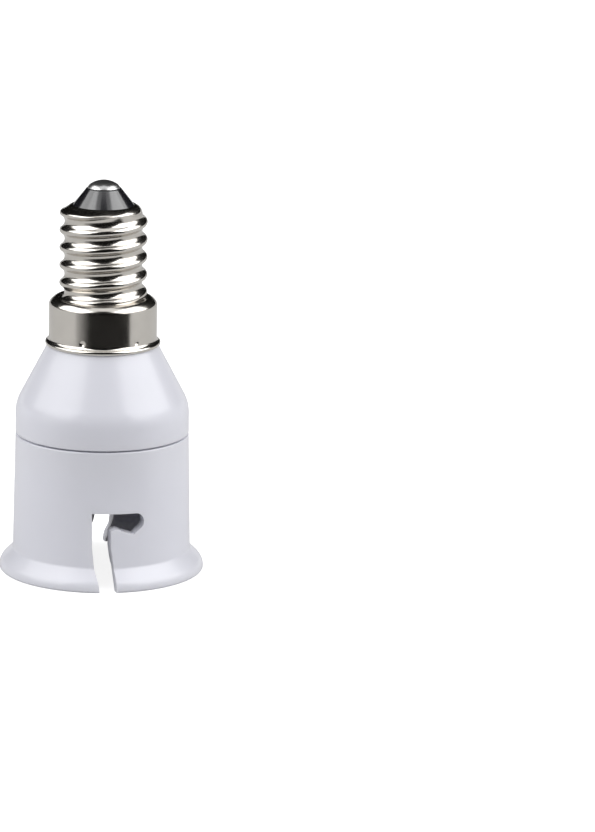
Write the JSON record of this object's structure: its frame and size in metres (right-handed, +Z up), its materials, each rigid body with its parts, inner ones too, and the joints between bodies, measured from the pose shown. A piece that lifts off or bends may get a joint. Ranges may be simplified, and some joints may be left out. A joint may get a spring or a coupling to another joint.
{
  "type": "lamp socket adapter",
  "caption": "Lamp socket adapter with a small screw cap on top, a cone-shaped cover and a bayonet lamp socket with sprung contacts below.",
  "frame": {"origin": "centre of the socket's rim, on the plane it stands on", "axes": "+Z up the adapter's axis from the socket's rim to the tip contact; -Y out of the front slot; +X to the closed end of the front slot's run"},
  "size_m": [0.0326, 0.0326, 0.0631],
  "materials": {
    "white_moulding": "glossy moulded",
    "inner_moulding": "satin moulded",
    "black_moulding": "glossy",
    "nickel_plate": "bright nickel plate",
    "brass": "turned",
    "spring_steel": "drawn wire",
    "solder": "bright solder",
    "lead_cover": "wire insulation"
  },
  "bodies": {
    "housing": {"lower_housing": "white_moulding", "upper_housing": "white_moulding", "screw_shell": "nickel_plate", "tip_insulator": "black_moulding", "centre_contact": "nickel_plate", "contact_carrier": "inner_moulding", "contact_sleeve_left": "brass", "contact_sleeve_right": "brass", "plunger_spring_left": "spring_steel", "plunger_spring_right": "spring_steel", "solder_tag_left": "brass", "solder_tag_right": "brass", "tag_solder_left": "solder", "tag_solder_right": "solder", "centre_lead": "lead_cover", "shell_lead": "lead_cover", "tip_solder": "solder"},
    "left_plunger": {"plunger_left": "brass"},
    "right_plunger": {"plunger_right": "brass"}
  },
  "joints": [
    {"name": "plunger_left_slide", "type": "slide", "parent": "housing", "child": "left_plunger", "axis": [0, 0, 1], "range_m": [0, 0.0045], "stiffness_N_per_m": 1200, "springref_m": -0.0015, "deforming": ["plunger_spring_left"]},
    {"name": "plunger_right_slide", "type": "slide", "parent": "housing", "child": "right_plunger", "axis": [0, 0, 1], "range_m": [0, 0.0045], "stiffness_N_per_m": 1200, "springref_m": -0.0015, "deforming": ["plunger_spring_right"]}
  ]
}
